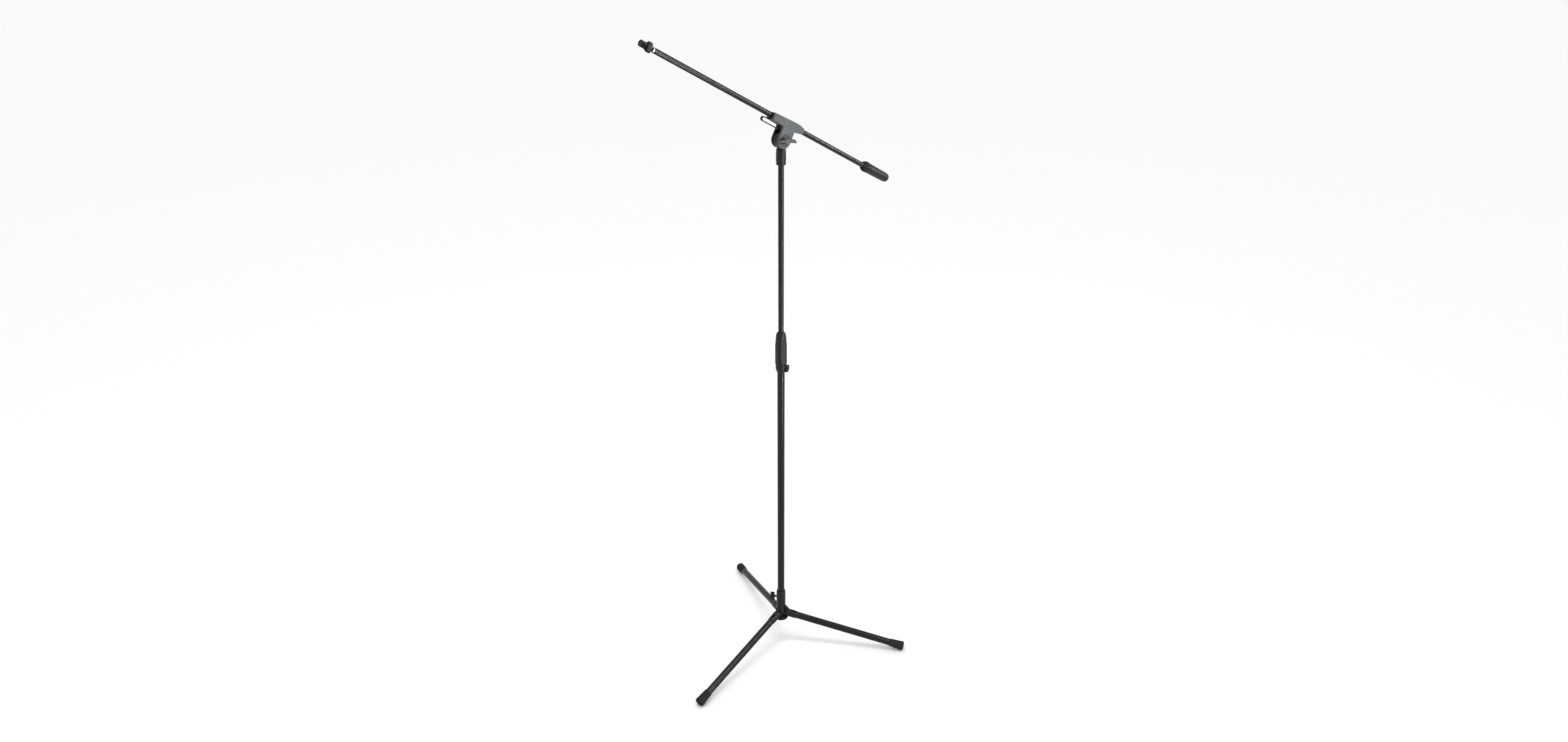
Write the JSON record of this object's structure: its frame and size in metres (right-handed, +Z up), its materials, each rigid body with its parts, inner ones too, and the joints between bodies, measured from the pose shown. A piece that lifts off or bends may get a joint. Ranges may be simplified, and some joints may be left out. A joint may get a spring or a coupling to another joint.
{
  "type": "boom microphone stand",
  "caption": "Floor-standing microphone stand with folding legs, a telescoping mast with a twist clutch, and a tilting boom with a counterweight.",
  "frame": {"origin": "on the floor under the mast's axis, in the middle of the three feet", "axes": "+Z up along the mast; +X to the right of the stand as it is usually seen, the boom's front end pointing to -X -Y"},
  "size_m": [0.7195, 0.6935, 1.9106],
  "materials": {
    "tube_enamel": "satin black powder coat on steel tube",
    "cast_black": "satin black coating on a casting",
    "clamp_grey": "satin dark grey coating on a casting",
    "clamp_black": "satin black coating on a casting",
    "grip_plastic": "satin moulded black plastic",
    "black_plastic": "matt moulded black plastic",
    "wing_plastic": "satin moulded dark grey plastic",
    "weight_plastic": "satin moulded black plastic",
    "rubber_black": "matt black rubber",
    "friction_fibre": "matt pressed fibre",
    "plated_steel": "zinc plated steel",
    "black_steel": "blackened steel"
  },
  "bodies": {
    "lower_mast": {"lower_tube": "tube_enamel", "spreader_cap": "cast_black", "clutch_body": "grip_plastic", "clutch_collet": "black_plastic", "clutch_screw": "black_steel", "clutch_nut": "black_steel"},
    "clutch_grip": {"clutch_grip": "grip_plastic"},
    "mast_guide": {"guide_bush": "black_plastic"},
    "upper_mast": {"upper_tube": "tube_enamel", "mast_stud": "plated_steel", "swivel_body": "cast_black", "swivel_screw": "black_steel", "friction_discs": "friction_fibre"},
    "boom_clamp": {"clamp_near": "clamp_grey", "clamp_far": "clamp_black", "tilt_bolt": "plated_steel", "tilt_washer": "black_steel", "cable_clip": "black_steel"},
    "tilt_wing": {"tilt_wing": "wing_plastic", "tilt_insert": "plated_steel"},
    "boom_liner": {"boom_liner": "black_plastic"},
    "boom": {"boom_tube": "tube_enamel", "boom_end_plug": "plated_steel", "thread_adapter": "black_steel", "weight_collar": "rubber_black", "weight_core": "black_steel", "weight_cover": "weight_plastic", "weight_screw": "plated_steel"},
    "lock_ring": {"lock_ring": "black_plastic"},
    "hub": {"hub": "cast_black", "pressure_pad": "black_plastic"},
    "hub_wing": {"hub_set_screw": "black_steel", "hub_wing": "black_plastic"},
    "leg_1": {"leg_knuckle_1": "cast_black", "leg_pin_1": "black_steel", "leg_tube_1": "tube_enamel", "leg_rivet_1": "black_steel", "foot_cap_1": "rubber_black"},
    "leg_2": {"leg_knuckle_2": "cast_black", "leg_pin_2": "black_steel", "leg_tube_2": "tube_enamel", "leg_rivet_2": "black_steel", "foot_cap_2": "rubber_black"},
    "leg_3": {"leg_knuckle_3": "cast_black", "leg_pin_3": "black_steel", "leg_tube_3": "tube_enamel", "leg_rivet_3": "black_steel", "foot_cap_3": "rubber_black"}
  },
  "joints": [
    {"name": "mast_height", "type": "slide", "parent": "lower_mast", "child": "mast_guide", "axis": [0, 0, 1], "range_m": [-0.47, 0.04]},
    {"name": "mast_turn", "type": "hinge", "parent": "mast_guide", "child": "upper_mast", "pos_m": [0, 0, 1], "axis": [0, 0, 1], "continuous": true},
    {"name": "grip_turn", "type": "hinge", "parent": "lower_mast", "child": "clutch_grip", "pos_m": [0, 0, 1.03], "axis": [0, 0, 1], "range_deg": [0, 150]},
    {"name": "boom_tilt", "type": "hinge", "parent": "upper_mast", "child": "boom_clamp", "pos_m": [0, 0, 1.6284], "axis": [-0.6266, 0.7793, 0], "range_deg": [-118.9, 61.1]},
    {"name": "tilt_wing_turn", "type": "hinge", "parent": "boom_clamp", "child": "tilt_wing", "pos_m": [0.01253, -0.01559, 1.6284], "axis": [0.6266, -0.7793, 0], "continuous": true},
    {"name": "boom_roll", "type": "hinge", "parent": "boom_clamp", "child": "boom_liner", "pos_m": [0.01657, 0.01332, 1.66692], "axis": [-0.6823, -0.5486, 0.4833], "continuous": true},
    {"name": "boom_slide", "type": "slide", "parent": "boom_liner", "child": "boom", "axis": [-0.6823, -0.5486, 0.4833], "range_m": [-0.34, 0.25]},
    {"name": "lock_ring_turn", "type": "hinge", "parent": "boom", "child": "lock_ring", "pos_m": [-0.30205, -0.24286, 1.89261], "axis": [-0.6823, -0.5486, 0.4833], "continuous": true},
    {"name": "hub_slide", "type": "slide", "parent": "lower_mast", "child": "hub", "axis": [0, 0, 1], "range_m": [0, 0.1]},
    {"name": "hub_wing_turn", "type": "hinge", "parent": "hub", "child": "hub_wing", "pos_m": [-0.02573, 0.00375, 0.1655], "axis": [-0.9895, 0.1444, 0], "continuous": true},
    {"name": "leg_1_fold", "type": "hinge", "parent": "hub", "child": "leg_1", "pos_m": [0.02375, -0.00346, 0.10913], "axis": [-0.1444, -0.9895, 0], "range_deg": [0, 100]},
    {"name": "leg_2_fold", "type": "hinge", "parent": "hub", "child": "leg_2", "pos_m": [-0.00887, 0.0223, 0.10913], "axis": [0.9291, 0.3697, 0], "range_deg": [0, 100]},
    {"name": "leg_3_fold", "type": "hinge", "parent": "hub", "child": "leg_3", "pos_m": [-0.01487, -0.01883, 0.10913], "axis": [-0.7848, 0.6198, 0], "range_deg": [0, 100]}
  ],
  "couplings": [
    {"joint": "leg_1_fold", "follows": "hub_slide", "rad_per_m": 17.453},
    {"joint": "leg_2_fold", "follows": "hub_slide", "rad_per_m": 17.453},
    {"joint": "leg_3_fold", "follows": "hub_slide", "rad_per_m": 17.453}
  ]
}
